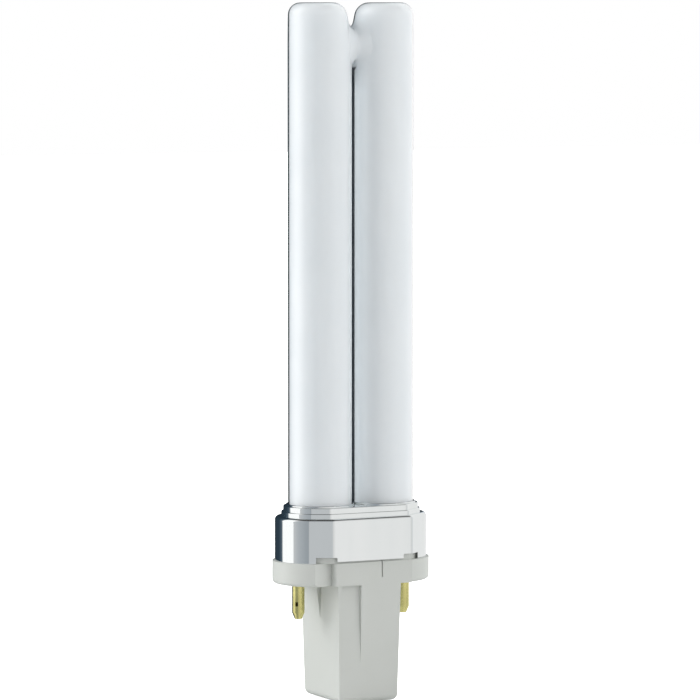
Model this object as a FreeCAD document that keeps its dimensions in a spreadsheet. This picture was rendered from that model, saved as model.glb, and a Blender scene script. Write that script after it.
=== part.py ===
import FreeCAD
import Part
import Sketcher
import math
import os

# Plug-in fluorescent lamp: two glass legs joined near their tops by a bridge, a drawn metal
# collar around their feet, and a moulded plastic cap with a post and two hollow brass pins.
# Millimetres. The origin is on the lamp's axis at the seat, the underside of the cap's flange.
# +Z runs up the glass, and +X runs along the line of the two pins.

PART_NAME = "u_tube_lamp"

# One row for each driving dimension: its name, its value and what it is.
DRIVING_SIZES = (
    ("tube_radius", 6.3, "outside radius of a glass leg"),
    ("tube_gap", 0.9, "clear gap between the two legs"),
    ("tube_top", 113.7, "top of the glass above the seat"),
    ("leg_bottom", 8.0, "pressed end of a leg above the seat"),
    ("leg_end_radius", 1.5, "rounding of a leg's pressed end"),
    ("crown_height", 4.8, "height over which a leg leans away from its neighbour"),
    ("crown_lean", 0.75, "how far the inner side of a leg leans away at the top"),
    ("crown_radius", 2.4, "rounding of the top of a leg"),
    ("bridge_depth", 8.45, "axis of the bridge below the top of the glass"),
    ("bridge_radius", 3.6, "outside radius of the bridge at its waist"),
    ("bridge_flare", 6.0, "radius of the bridge's blown flare"),
    ("bridge_bite", 1.775, "how far the bridge's flare reaches into each leg"),
    ("stem_radius", 2.0, "radius of the sealed stem under a leg"),
    ("stem_length", 2.5, "length of the sealed stem"),
    ("sheet", 0.3, "thickness of the collar's sheet"),
    ("right_facet_angle", 36.6, "slope of the front right and back left facets"),
    ("right_facet_bend", 7.7, "bend between those facets and the round ends"),
    ("left_facet_angle", 28.0, "slope of the front left and back right facets"),
    ("left_facet_bend", 6.4, "bend between those facets and the round ends"),
    ("skirt_bottom", 4.5, "lower edge of the skirt at the two ends"),
    ("side_rise", 0.4, "how much higher the skirt's edge is along the long sides"),
    ("skirt_top", 13.3, "top of the skirt"),
    ("skirt_side_step", 1.5, "how far the skirt's flat side stands out from the ring's"),
    ("skirt_end_step", 0.75, "how much larger the skirt's end radius is than the ring's"),
    ("skirt_end_shift", 1.0, "centre of the skirt's round end beyond the ring's"),
    ("skirt_corner", 1.2, "rounding of the skirt beside its facets"),
    ("skirt_shoulder", 0.8, "rounding of the skirt's shoulder"),
    ("ring_side_room", 1.0, "how far the ring's flat side stands out from the glass"),
    ("ring_end_room", 0.8, "how much larger the ring's end radius is than a leg's radius"),
    ("ring_end_shift", 0.15, "centre of the ring's round end beyond the leg's axis"),
    ("ring_step", 0.4, "how far the lower ring stands out from the upper one"),
    ("ring_low_height", 0.9, "height of the lower ring"),
    ("ring_high_height", 1.1, "height of the upper ring"),
    ("ring_bend", 5.0, "how much more a ring bends at its facets than the skirt"),
    ("ring_corner", 0.9, "rounding of the rings beside their facets"),
    ("ring_rounding", 0.22, "rounding of the two ring edges"),
    ("lip_gap", 0.12, "clearance between the collar's lip and the glass"),
    ("lip_width", 0.3, "width of the lip round each leg"),
    ("lip_height", 0.3, "height of the lip round each leg"),
    ("lip_rounding", 0.2, "rounding of the lip's outer edge"),
    ("notch_inner", 7.55, "inner side of a crimping notch from the axis"),
    ("notch_outer", 11.1, "outer side of a crimping notch from the axis"),
    ("notch_height", 0.85, "height of a crimping notch above the side's edge"),
    ("notch_corner", 0.35, "rounding of a notch's inner corner"),
    ("ear_end_shift", 0.15, "centre of an ear's round end inside the skirt's"),
    ("ear_end_step", 0.65, "how much larger an ear's end radius is than the skirt's"),
    ("ear_relief_angle", 63.7, "where the round end stops at the relieved corner"),
    ("relief_land", 0.65, "root of the relieved corner beside the post"),
    ("relief_depth", 1.7, "root of the relieved corner inside the flange's flat side"),
    ("relief_rounding", 0.45, "rounding of the edge beside the relieved corner"),
    ("flange_inset", 0.45, "how far the flange's flat side lies inside the skirt's"),
    ("ear_floor", 3.2, "thickness of the ear under the pin's head"),
    ("ear_edge", 0.8, "rounding of the ear's lower edge"),
    ("spigot_gap", 0.7, "spigot's outline inside the skirt's outline"),
    ("spigot_top_gap", 0.25, "clearance between the spigot and the skirt's shoulder"),
    ("spigot_wall_gap", 0.3, "spigot's bore inside the ring's outline"),
    ("leg_room_floor", 0.8, "floor of the room for the legs above the top of the flange"),
    ("lead_room_width", 6.0, "width of the room for the leads under the legs"),
    ("post_length", 23.3, "length of the post below the seat"),
    ("post_half_length", 6.85, "half the post's length along the pins at the seat"),
    ("post_end_half_length", 6.3, "half the post's length along the pins at its end"),
    ("post_end_half_width", 7.8, "half the post's width at its end"),
    ("post_end_edge", 1.3, "rounding of the post's end"),
    ("post_wall_x", 1.2, "post's wall across the pins, at its end"),
    ("post_wall_y", 1.2, "post's wall along the pins, at its end"),
    ("post_floor", 1.4, "thickness of the post's closed end"),
    ("keyway_edge", 6.1, "outer side of the long keyway from the axis"),
    ("keyway_width", 4.3, "width of the long keyway"),
    ("keyway_length", 15.3, "length of the long keyway from the seat"),
    ("keyway_depth", 0.9, "depth of the long keyway at the seat"),
    ("catch_width", 2.2, "width of the catch groove at the seat"),
    ("catch_straight", 2.6, "length over which the catch groove keeps its width"),
    ("catch_length", 7.3, "length of the catch groove with its run-out"),
    ("catch_depth", 0.8, "depth of the catch groove at the seat"),
    ("slit_place", 2.76, "place of the mould slit along the pins"),
    ("slit_width", 0.22, "width of the mould slit"),
    ("slit_bottom", 1.4, "lower end of the mould slit above the seat"),
    ("slit_depth", 0.6, "depth of the mould slit"),
    ("pin_spacing", 23.0, "distance between the two contact pins"),
    ("pin_radius", 1.24, "outside radius of a contact pin"),
    ("pin_shank_step", 0.3, "how much thicker the pin is inside the ear"),
    ("pin_length", 7.0, "length of a contact pin below the seat"),
    ("pin_taper", 1.25, "length of the pin's tapered tip"),
    ("pin_tip_radius", 0.72, "radius of the pin's blunt tip"),
    ("pin_bore_radius", 0.8, "inside radius of the rolled pin"),
    ("pin_mouth_radius", 0.38, "radius of the hole left in the tip"),
    ("pin_head_radius", 1.85, "radius of the pin's head inside the cap"),
    ("pin_head_height", 0.5, "thickness of the pin's head"),
    ("pin_head_sink", 0.2, "how deep the pin's head sits in the ear's floor"),
    ("pin_head_gap", 0.15, "clearance round the pin's head"),
    ("crimp_drop", 4.0, "middle of the crimp hole below the seat"),
    ("crimp_width", 0.55, "width of the crimp hole"),
    ("crimp_height", 0.85, "height of the crimp hole"),
    ("crimp_turn", 40.8, "turn of the crimp hole about the pin from the lamp's front"),
    ("cement_bottom", 9.2, "underside of the cement above the seat"),
    ("cement_gap", 0.05, "clearance round the cement"),
    ("bottle_radius", 3.3, "radius of the starter's glass bottle"),
    ("bottle_length", 15.0, "length of the starter's glass bottle"),
    ("bottle_foot_radius", 2.4, "radius of the flat foot of the bottle"),
    ("bottle_neck_radius", 1.2, "radius of the bottle's pinched neck"),
    ("bottle_neck_length", 2.2, "length of the bottle's pinched neck"),
    ("bottle_place", 2.9, "axis of the bottle in front of the lamp's axis"),
    ("capacitor_width", 7.6, "width of the starter's capacitor"),
    ("capacitor_depth", 2.8, "depth of the capacitor"),
    ("capacitor_height", 9.0, "height of the capacitor"),
    ("capacitor_place", 4.3, "middle of the capacitor behind the lamp's axis"),
    ("capacitor_rounding", 0.9, "rounding of the dipped capacitor"),
    ("lead_radius", 0.22, "radius of a lead wire"),
    ("lead_bend", 0.8, "bending radius of a lead wire"),
    ("lead_offset", 1.0, "place of a lead beside the middle of the stem"),
    ("lead_level", 4.4, "level at which the leads cross above the ear's floor"),
    ("lead_in_pin", 5.2, "how far a lead reaches down into its pin from the seat"),
    ("lead_pitch", 0.7, "place of a starter lead beside the middle of the bottle"),
)

doc = FreeCAD.newDocument(PART_NAME)
sheet = doc.addObject("Spreadsheet::Sheet", "Sizes")
for row, (alias, amount, note) in enumerate(DRIVING_SIZES, start=1):
    sheet.set(f"A{row}", note)
    sheet.set(f"B{row}", str(amount))
    sheet.setAlias(f"B{row}", alias)
doc.recompute()

LEG_AXIS = "(Sizes.tube_radius + Sizes.tube_gap / 2)"

# The ring goes round the glass, the skirt round the ring, and the cap's ears follow the skirt.
RING = {
    "half_width": "(Sizes.tube_radius + Sizes.ring_side_room)",
    "end_radius": "(Sizes.tube_radius + Sizes.ring_end_room)",
    "end_centre": f"({LEG_AXIS} + Sizes.ring_end_shift)",
    "more_bend": "Sizes.ring_bend",
}
SKIRT = {
    "half_width": f"({RING['half_width']} + Sizes.skirt_side_step)",
    "end_radius": f"({RING['end_radius']} + Sizes.skirt_end_step)",
    "end_centre": f"({RING['end_centre']} + Sizes.skirt_end_shift)",
    "more_bend": "0",
}
EAR_CENTRE = f"({SKIRT['end_centre']} - Sizes.ear_end_shift)"
EAR_RADIUS = f"({SKIRT['end_radius']} + Sizes.ear_end_step)"
FLANGE_SIDE = f"({SKIRT['half_width']} - Sizes.flange_inset)"

SUB_PARTS = []
NO_LENGTH = 1e-7
SELECTION = 1e-4


def amount_of(expression):
    """The present value of an expression over the sheet's cells."""
    value = sheet.evalExpression(expression)
    return float(getattr(value, "Value", value))


def new_body(label):
    """A body for one sub-part, whose label names its file."""
    body = doc.addObject("PartDesign::Body", label)
    body.Label = label
    SUB_PARTS.append(body)
    return body


def origin_plane(body, role):
    """One of the body's own three planes."""
    return next(item for item in body.Origin.OriginFeatures if item.Role == role)


def new_sketch(body, name, role="XY_Plane", level=None):
    """A sketch on one of the body's planes, moved along that plane's normal to a level."""
    sketch = body.newObject("Sketcher::SketchObject", name)
    sketch.AttachmentSupport = [(origin_plane(body, role), "")]
    sketch.MapMode = "FlatFace"
    if level:
        sketch.setExpression("AttachmentOffset.Base.z", level)
    return sketch


def drive(sketch, kind, references, expression):
    """A dimension whose value follows the sheet."""
    constraint = Sketcher.Constraint(kind, *references, amount_of(expression))
    index = sketch.addConstraint(constraint)
    sketch.setExpression(f"Constraints[{index}]", expression)


def hold(sketch, kind, geometry, end, expression):
    """Holds one coordinate of a sketch point at an expression."""
    value = amount_of(expression)
    if abs(value) < NO_LENGTH:
        axis = -2 if kind == "DistanceX" else -1
        sketch.addConstraint(Sketcher.Constraint("PointOnObject", geometry, end, axis))
    elif value > 0:
        drive(sketch, kind, (-1, 1, geometry, end), expression)
    else:
        drive(sketch, kind, (geometry, end, -1, 1), f"-({expression})")


def locate(sketch, geometry, end, across, up):
    """Holds one point of a sketch at two expressions measured from the sketch's origin."""
    hold(sketch, "DistanceX", geometry, end, across)
    hold(sketch, "DistanceY", geometry, end, up)


def point_at(across, up):
    """A sketch point at the present value of two expressions."""
    return FreeCAD.Vector(amount_of(across), amount_of(up), 0)


def draw_circle(sketch, across, up, radius):
    """A circle with its middle and radius driven."""
    circle = Part.Circle(point_at(across, up), FreeCAD.Vector(0, 0, 1), amount_of(radius))
    geometry = sketch.addGeometry(circle, False)
    locate(sketch, geometry, 3, across, up)
    drive(sketch, "Radius", (geometry,), radius)


def draw_loop(sketch, corners, arc_centres=None):
    """A closed loop through driven corners, with a left-hand arc after each one with a centre."""
    arc_centres = arc_centres or {}
    places = [point_at(across, up) for across, up in corners]
    pieces = []
    for index, start in enumerate(places):
        stop = places[(index + 1) % len(places)]
        if index in arc_centres:
            centre = point_at(*arc_centres[index])
            radius = start.distanceToPoint(centre)
            first = math.atan2(start.y - centre.y, start.x - centre.x)
            last = math.atan2(stop.y - centre.y, stop.x - centre.x)
            if last < first:
                last += 2 * math.pi
            circle = Part.Circle(centre, FreeCAD.Vector(0, 0, 1), radius)
            shape = Part.ArcOfCircle(circle, first, last)
        else:
            shape = Part.LineSegment(start, stop)
        pieces.append(sketch.addGeometry(shape, False))
    for index, geometry in enumerate(pieces):
        following = pieces[(index + 1) % len(pieces)]
        sketch.addConstraint(Sketcher.Constraint("Coincident", geometry, 2, following, 1))
        locate(sketch, geometry, 1, *corners[index])
        if index in arc_centres:
            across, up = arc_centres[index]
            if abs(amount_of(across)) > NO_LENGTH:
                hold(sketch, "DistanceX", geometry, 3, across)
            else:
                hold(sketch, "DistanceY", geometry, 3, up)


def draw_box(sketch, left, right, bottom, top):
    """A rectangle between four driven sides."""
    draw_loop(sketch, ((left, bottom), (right, bottom), (right, top), (left, top)))


def facet_ends(outline, inset, facet):
    """Where a facet leaves the flat side, and where it meets the round end."""
    slope = f"(Sizes.{facet}_angle * 1 deg)"
    bend = f"((Sizes.{facet}_bend + {outline['more_bend']}) * 1 deg)"
    side = f"({outline['half_width']} - ({inset}))"
    radius = f"({outline['end_radius']} - ({inset}))"
    centre = outline["end_centre"]
    from_centre = f"({outline['end_radius']} * cos({bend}) - ({inset}))"
    reach = f"({from_centre} + {centre} * sin({slope}))"
    flat_end = f"(({reach} - {side} * cos({slope})) / sin({slope}))"
    half_chord = f"sqrt({radius} ^ 2 - {from_centre} ^ 2)"
    arc_x = f"({centre} + {from_centre} * sin({slope}) + {half_chord} * cos({slope}))"
    arc_y = f"({from_centre} * cos({slope}) - {half_chord} * sin({slope}))"
    return flat_end, arc_x, arc_y


def draw_collar_outline(sketch, outline, inset):
    """The collar's long outline: flat sides, round ends, and facets that match at half a turn."""
    side = f"({outline['half_width']} - ({inset}))"
    centre = outline["end_centre"]
    right_flat, right_x, right_y = facet_ends(outline, inset, "right_facet")
    left_flat, left_x, left_y = facet_ends(outline, inset, "left_facet")
    corners = (
        (f"-{left_flat}", f"-{side}"),
        (right_flat, f"-{side}"),
        (right_x, f"-{right_y}"),
        (left_x, left_y),
        (left_flat, side),
        (f"-{right_flat}", side),
        (f"-{right_x}", right_y),
        (f"-{left_x}", f"-{left_y}"),
    )
    draw_loop(sketch, corners, {2: (centre, "0"), 6: (f"-{centre}", "0")})


def draw_legs(sketch, radius):
    """One circle for each glass leg."""
    draw_circle(sketch, f"-{LEG_AXIS}", "0", radius)
    draw_circle(sketch, LEG_AXIS, "0", radius)


def draw_pins(sketch, radius):
    """One circle for each contact pin."""
    draw_circle(sketch, "-Sizes.pin_spacing / 2", "0", radius)
    draw_circle(sketch, "Sizes.pin_spacing / 2", "0", radius)


def pad(body, sketch, name, length, downwards=False):
    """Adds material from a sketch over a driven length."""
    feature = body.newObject("PartDesign::Pad", name)
    feature.Profile = sketch
    feature.Reversed = downwards
    feature.setExpression("Length", length)
    doc.recompute()
    return feature


def pocket(body, sketch, name, length, along_normal=False, through=False):
    """Cuts a sketch over a driven length, and makes sure that something was cut."""
    before = body.Shape.Volume
    feature = body.newObject("PartDesign::Pocket", name)
    feature.Profile = sketch
    feature.Reversed = along_normal
    if through:
        feature.SideType = "Symmetric"
    feature.setExpression("Length", length)
    doc.recompute()
    if not body.Shape.Volume < before - NO_LENGTH:
        raise ValueError(f"{body.Label}: {name} cuts nothing")
    return feature


def turn_copy(body, name, *originals):
    """Repeats cuts at half a turn about the lamp's axis."""
    before = body.Shape.Volume
    pattern = body.newObject("PartDesign::PolarPattern", name)
    pattern.Originals = list(originals)
    axis = next(item for item in body.Origin.OriginFeatures if item.Role == "Z_Axis")
    pattern.Axis = (axis, [""])
    pattern.Angle = 360
    pattern.Occurrences = 2
    body.Tip = pattern
    doc.recompute()
    if not body.Shape.Volume < before - NO_LENGTH:
        raise ValueError(f"{body.Label}: {name} cuts nothing")
    return pattern


def edges_where(shape, test):
    """Names of the edges that a test picks."""
    return [f"Edge{number}" for number, edge in enumerate(shape.Edges, start=1) if test(edge)]


def fillet(body, name, radius, test):
    """Rounds the edges of the body that a test picks."""
    base = body.Tip
    names = edges_where(base.Shape, test)
    if not names:
        raise ValueError(f"{body.Label}: no edge for {name}")
    feature = body.newObject("PartDesign::Fillet", name)
    feature.Base = (base, names)
    feature.setExpression("Radius", radius)
    doc.recompute()
    return feature


def lies_at(edge, level):
    """True for an edge that lies flat at one level."""
    box = edge.BoundBox
    return abs(box.ZMin - level) < SELECTION and abs(box.ZMax - level) < SELECTION


def is_upright(edge):
    """True for a straight edge along Z."""
    box = edge.BoundBox
    return box.XLength < SELECTION and box.YLength < SELECTION


def make_discharge_tube():
    """Two sealed glass legs, blown together near their tops by a short bridge."""
    body = new_body("discharge_tube")
    bridge_sketch = new_sketch(body, "bridge_sketch", "XZ_Plane")
    bridge_sketch.setExpression("AttachmentOffset.Base.y", "Sizes.tube_top - Sizes.bridge_depth")
    reach = "(Sizes.tube_gap / 2 + Sizes.bridge_bite)"
    flare = "Sizes.bridge_flare"
    centre = f"(Sizes.bridge_radius + {flare})"
    rim = f"({centre} - sqrt({flare} ^ 2 - {reach} ^ 2))"
    corners = ((reach, "0"), (f"-{reach}", "0"), (f"-{reach}", rim), (reach, rim))
    draw_loop(bridge_sketch, corners, {2: ("0", centre)})
    bridge = body.newObject("PartDesign::Revolution", "bridge")
    bridge.Profile = bridge_sketch
    bridge.ReferenceAxis = (bridge_sketch, ["H_Axis"])
    bridge.Angle = 360
    doc.recompute()
    leg_sketch = new_sketch(body, "leg_sketch", level="Sizes.leg_bottom")
    draw_legs(leg_sketch, "Sizes.tube_radius")
    crown_base = "Sizes.tube_top - Sizes.crown_height"
    pad(body, leg_sketch, "legs", f"{crown_base} - Sizes.leg_bottom")
    crown_foot = new_sketch(body, "crown_foot", level=crown_base)
    draw_circle(crown_foot, LEG_AXIS, "0", "Sizes.tube_radius")
    crown_head = new_sketch(body, "crown_head", level="Sizes.tube_top")
    leant = f"({LEG_AXIS} + Sizes.crown_lean / 2)"
    draw_circle(crown_head, leant, "0", "Sizes.tube_radius - Sizes.crown_lean / 2")
    crown = body.newObject("PartDesign::AdditiveLoft", "crown")
    crown.Profile = crown_foot
    crown.Sections = [crown_head]
    doc.recompute()
    other_crown = body.newObject("PartDesign::Mirrored", "other_crown")
    other_crown.Originals = [crown]
    other_crown.MirrorPlane = (origin_plane(body, "YZ_Plane"), [""])
    body.Tip = other_crown
    doc.recompute()
    top = amount_of("Sizes.tube_top")
    fillet(body, "crown_rounding", "Sizes.crown_radius", lambda edge: lies_at(edge, top))
    bottom = amount_of("Sizes.leg_bottom")
    fillet(body, "leg_end", "Sizes.leg_end_radius", lambda edge: lies_at(edge, bottom))
    stem_sketch = new_sketch(body, "stem_sketch", level="Sizes.leg_bottom - Sizes.stem_length")
    draw_legs(stem_sketch, "Sizes.stem_radius")
    pad(body, stem_sketch, "stems", "Sizes.stem_length")


def make_metal_collar():
    """The drawn collar: a skirt, two stepped rings, a lip round each leg and four notches."""
    body = new_body("metal_collar")
    collar_top = "(Sizes.skirt_top + Sizes.ring_low_height + Sizes.ring_high_height)"
    skirt_sketch = new_sketch(body, "skirt_sketch", level="Sizes.skirt_bottom")
    draw_collar_outline(skirt_sketch, SKIRT, "0")
    pad(body, skirt_sketch, "skirt", "Sizes.skirt_top - Sizes.skirt_bottom")
    fillet(body, "skirt_corners", "Sizes.skirt_corner", is_upright)
    skirt_top = amount_of("Sizes.skirt_top")
    fillet(body, "shoulder", "Sizes.skirt_shoulder", lambda edge: lies_at(edge, skirt_top))
    low_top = "(Sizes.skirt_top + Sizes.ring_low_height)"
    rings = (
        ("low_ring", "Sizes.skirt_top", low_top, "-Sizes.ring_step"),
        ("high_ring", low_top, collar_top, "0"),
    )
    for name, foot, head, inset in rings:
        ring_sketch = new_sketch(body, f"{name}_sketch", level=foot)
        draw_collar_outline(ring_sketch, RING, inset)
        pad(body, ring_sketch, name, f"{head} - {foot}")
        foot_level = amount_of(foot)
        head_level = amount_of(head)
        fillet(body, f"{name}_corners", "Sizes.ring_corner",
               lambda edge: is_upright(edge) and edge.BoundBox.ZMin > foot_level - SELECTION)
        fillet(body, f"{name}_edge", "Sizes.ring_rounding", lambda edge: lies_at(edge, head_level))
    lip_sketch = new_sketch(body, "lip_sketch", level=collar_top)
    draw_legs(lip_sketch, "Sizes.tube_radius + Sizes.lip_gap + Sizes.lip_width")
    pad(body, lip_sketch, "lips", "Sizes.lip_height")
    lip_level = amount_of(f"{collar_top} + Sizes.lip_height")
    fillet(body, "lip_edges", "Sizes.lip_rounding", lambda edge: lies_at(edge, lip_level))
    skirt_room = new_sketch(body, "skirt_room_sketch", level="Sizes.skirt_bottom")
    draw_collar_outline(skirt_room, SKIRT, "Sizes.sheet")
    depth = "Sizes.skirt_top - Sizes.sheet - Sizes.skirt_bottom"
    pocket(body, skirt_room, "skirt_room", depth, along_normal=True)
    ring_room = new_sketch(body, "ring_room_sketch", level="Sizes.skirt_bottom")
    draw_collar_outline(ring_room, RING, "Sizes.sheet")
    depth = f"{collar_top} - Sizes.sheet - Sizes.skirt_bottom"
    pocket(body, ring_room, "ring_room", depth, along_normal=True)
    leg_holes = new_sketch(body, "leg_hole_sketch", level="Sizes.skirt_bottom")
    draw_legs(leg_holes, "Sizes.tube_radius + Sizes.lip_gap")
    depth = f"{collar_top} + 2 * Sizes.lip_height - Sizes.skirt_bottom"
    pocket(body, leg_holes, "leg_holes", depth, along_normal=True)
    side_sketch = new_sketch(body, "side_edge_sketch", "XZ_Plane")
    side_edge = "(Sizes.skirt_bottom + Sizes.side_rise)"
    below = "Sizes.skirt_bottom - Sizes.sheet"
    draw_box(side_sketch, "-Sizes.notch_inner", "Sizes.notch_inner", below, side_edge)
    pocket(body, side_sketch, "side_edges", f"4 * {SKIRT['half_width']}", through=True)
    notch_sketch = new_sketch(body, "notch_sketch", "XZ_Plane")
    notch_top = f"{side_edge} + Sizes.notch_height"
    overlap = "Sizes.notch_inner - Sizes.notch_corner"
    draw_box(notch_sketch, overlap, "Sizes.notch_outer", below, notch_top)
    draw_box(notch_sketch, "-Sizes.notch_outer", f"-({overlap})", below, notch_top)
    pocket(body, notch_sketch, "notches", f"4 * {SKIRT['half_width']}", through=True)
    inner_x = amount_of(overlap)

    def is_notch_corner(edge):
        box = edge.BoundBox
        level = abs(box.ZMax - amount_of(notch_top)) < SELECTION and box.ZLength < SELECTION
        across = abs(abs(box.XMin) - inner_x) < SELECTION and box.XLength < SELECTION
        return level and across and box.YLength > SELECTION

    fillet(body, "notch_corners", "Sizes.notch_corner", is_notch_corner)


def make_base_housing():
    """The moulded cap: a flange with two ears, a hollow spigot and a hollow keyed post."""
    body = new_body("base_housing")
    ear_turn = "(Sizes.ear_relief_angle * 1 deg)"
    side = FLANGE_SIDE
    flat_end = f"({EAR_CENTRE} + sqrt({EAR_RADIUS} ^ 2 - {side} ^ 2))"
    relief_x = f"({EAR_CENTRE} + {EAR_RADIUS} * cos({ear_turn}))"
    relief_y = f"({EAR_RADIUS} * sin({ear_turn}))"
    root_x = "(Sizes.post_half_length + Sizes.relief_land)"
    root_y = f"({side} - Sizes.relief_depth)"
    corners = (
        (f"-{relief_x}", f"-{relief_y}"),
        (f"-{root_x}", f"-{root_y}"),
        (f"-{root_x}", f"-{side}"),
        (flat_end, f"-{side}"),
        (relief_x, relief_y),
        (root_x, root_y),
        (root_x, side),
        (f"-{flat_end}", side),
    )
    flange_sketch = new_sketch(body, "flange_sketch")
    draw_loop(flange_sketch, corners, {3: (EAR_CENTRE, "0"), 7: (f"-{EAR_CENTRE}", "0")})
    pad(body, flange_sketch, "flange", "Sizes.skirt_bottom")
    wall_x = amount_of(root_x)
    wall_y = amount_of(side)

    def is_relief_edge(edge):
        point = edge.Vertexes[0].Point
        at_corner = abs(abs(point.x) - wall_x) < SELECTION and abs(abs(point.y) - wall_y) < SELECTION
        return is_upright(edge) and at_corner

    fillet(body, "relief_edges", "Sizes.relief_rounding", is_relief_edge)

    edge_sketch = new_sketch(body, "ear_edge_sketch", "XZ_Plane")
    edge_sketch.setExpression("AttachmentOffset.Base.x", EAR_CENTRE)
    round_start = f"({EAR_RADIUS} - Sizes.ear_edge)"
    clear = f"({EAR_RADIUS} + Sizes.ear_edge)"
    edge_corners = (
        (round_start, "0"),
        (EAR_RADIUS, "Sizes.ear_edge"),
        (clear, "Sizes.ear_edge"),
        (clear, "-Sizes.ear_edge"),
        (round_start, "-Sizes.ear_edge"),
    )
    draw_loop(edge_sketch, edge_corners, {0: (round_start, "Sizes.ear_edge")})
    rounding = body.newObject("PartDesign::Groove", "ear_rounding")
    rounding.Profile = edge_sketch
    rounding.ReferenceAxis = (edge_sketch, ["V_Axis"])
    rounding.Midplane = True
    rounding.setExpression("Angle", f"2 * asin({side} / {EAR_RADIUS})")
    doc.recompute()
    turn_copy(body, "other_ear_rounding", rounding)
    spigot_sketch = new_sketch(body, "spigot_sketch", level="Sizes.skirt_bottom")
    draw_collar_outline(spigot_sketch, SKIRT, "Sizes.spigot_gap")
    spigot_top = "(Sizes.skirt_top - Sizes.sheet - Sizes.spigot_top_gap)"
    pad(body, spigot_sketch, "spigot", f"{spigot_top} - Sizes.skirt_bottom")
    post_head = new_sketch(body, "post_head")
    draw_box(post_head, "-Sizes.post_half_length", "Sizes.post_half_length", f"-{side}", side)
    post_foot = new_sketch(body, "post_foot", level="-Sizes.post_length")
    half_length = "Sizes.post_end_half_length"
    half_width = "Sizes.post_end_half_width"
    draw_box(post_foot, f"-{half_length}", half_length, f"-{half_width}", half_width)
    post = body.newObject("PartDesign::AdditiveLoft", "post")
    post.Profile = post_head
    post.Sections = [post_foot]
    post.Ruled = True
    doc.recompute()
    post_bottom = amount_of("-Sizes.post_length")
    fillet(body, "post_end", "Sizes.post_end_edge", lambda edge: lies_at(edge, post_bottom))
    keyway_sketch = new_sketch(body, "keyway_sketch", "YZ_Plane", level="-Sizes.keyway_edge")
    outside = f"-2 * {side}"
    root = f"-({side} - Sizes.keyway_depth)"
    draught = f"({side} - {half_width}) / Sizes.post_length * Sizes.keyway_length"
    keyway_end = (f"-({side} - {draught})", "-Sizes.keyway_length")
    keyway_corners = ((root, "0"), (outside, "0"), (outside, "-Sizes.keyway_length"), keyway_end)
    draw_loop(keyway_sketch, keyway_corners)
    keyway = pocket(body, keyway_sketch, "keyway", "Sizes.keyway_width", along_normal=True)
    turn_copy(body, "other_keyway", keyway)
    catch_root = "-(Sizes.post_half_length - Sizes.catch_depth)"
    catch_outside = "-(Sizes.post_half_length + Sizes.catch_depth)"
    half_catch = "Sizes.catch_width / 2"
    catch_sketch = new_sketch(body, "catch_sketch")
    draw_box(catch_sketch, catch_outside, catch_root, f"-{half_catch}", half_catch)
    groove = pocket(body, catch_sketch, "catch_groove", "Sizes.catch_straight")
    catch_head = new_sketch(body, "catch_head", level="-Sizes.catch_straight")
    draw_box(catch_head, catch_outside, catch_root, f"-{half_catch}", half_catch)
    catch_foot = new_sketch(body, "catch_foot", level="-Sizes.catch_length")
    narrow = "Sizes.catch_width / 20"
    lean = f"(Sizes.post_half_length - {half_length}) / Sizes.post_length * Sizes.catch_length"
    draw_box(catch_foot, catch_outside, f"-(Sizes.post_half_length - {lean})", f"-{narrow}", narrow)
    run_out = body.newObject("PartDesign::SubtractiveLoft", "catch_run_out")
    run_out.Profile = catch_head
    run_out.Sections = [catch_foot]
    run_out.Ruled = True
    doc.recompute()
    turn_copy(body, "other_catch_groove", groove, run_out)
    slit_sketch = new_sketch(body, "slit_sketch", level="Sizes.slit_bottom")
    slit_left = "Sizes.slit_place - Sizes.slit_width / 2"
    slit_right = "Sizes.slit_place + Sizes.slit_width / 2"
    draw_box(slit_sketch, slit_left, slit_right, outside, f"-({side} - Sizes.slit_depth)")
    slit_height = "Sizes.skirt_bottom + Sizes.side_rise - Sizes.slit_bottom"
    slit = pocket(body, slit_sketch, "slit", slit_height, along_normal=True)
    turn_copy(body, "other_slit", slit)
    room_sketch = new_sketch(body, "leg_room_sketch", level=spigot_top)
    draw_collar_outline(room_sketch, RING, "Sizes.spigot_wall_gap")
    leg_floor = "(Sizes.skirt_bottom + Sizes.leg_room_floor)"
    pocket(body, room_sketch, "leg_room", f"{spigot_top} - {leg_floor}")
    lead_sketch = new_sketch(body, "lead_room_sketch", level=leg_floor)
    lead_x = "(Sizes.pin_spacing / 2 + Sizes.pin_head_radius + Sizes.pin_head_gap)"
    lead_y = "(Sizes.lead_room_width / 2)"
    draw_box(lead_sketch, f"-{lead_x}", lead_x, f"-{lead_y}", lead_y)
    pocket(body, lead_sketch, "lead_room", f"{leg_floor} - Sizes.ear_floor")
    starter_sketch = new_sketch(body, "starter_room_sketch", level=leg_floor)
    room_x = f"({half_length} - Sizes.post_wall_x)"
    room_y = f"({half_width} - Sizes.post_wall_y)"
    draw_box(starter_sketch, f"-{room_x}", room_x, f"-{room_y}", room_y)
    room_depth = f"{leg_floor} + Sizes.post_length - Sizes.post_floor"
    pocket(body, starter_sketch, "starter_room", room_depth)
    head_sketch = new_sketch(body, "pin_head_sketch", level=spigot_top)
    draw_pins(head_sketch, "Sizes.pin_head_radius + Sizes.pin_head_gap")
    head_depth = f"{spigot_top} - Sizes.ear_floor + Sizes.pin_head_sink"
    pocket(body, head_sketch, "pin_head_rooms", head_depth)
    pin_sketch = new_sketch(body, "pin_hole_sketch", level="Sizes.ear_floor")
    draw_pins(pin_sketch, "Sizes.pin_radius + Sizes.pin_shank_step")
    pocket(body, pin_sketch, "pin_holes", "2 * Sizes.ear_floor")


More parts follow.
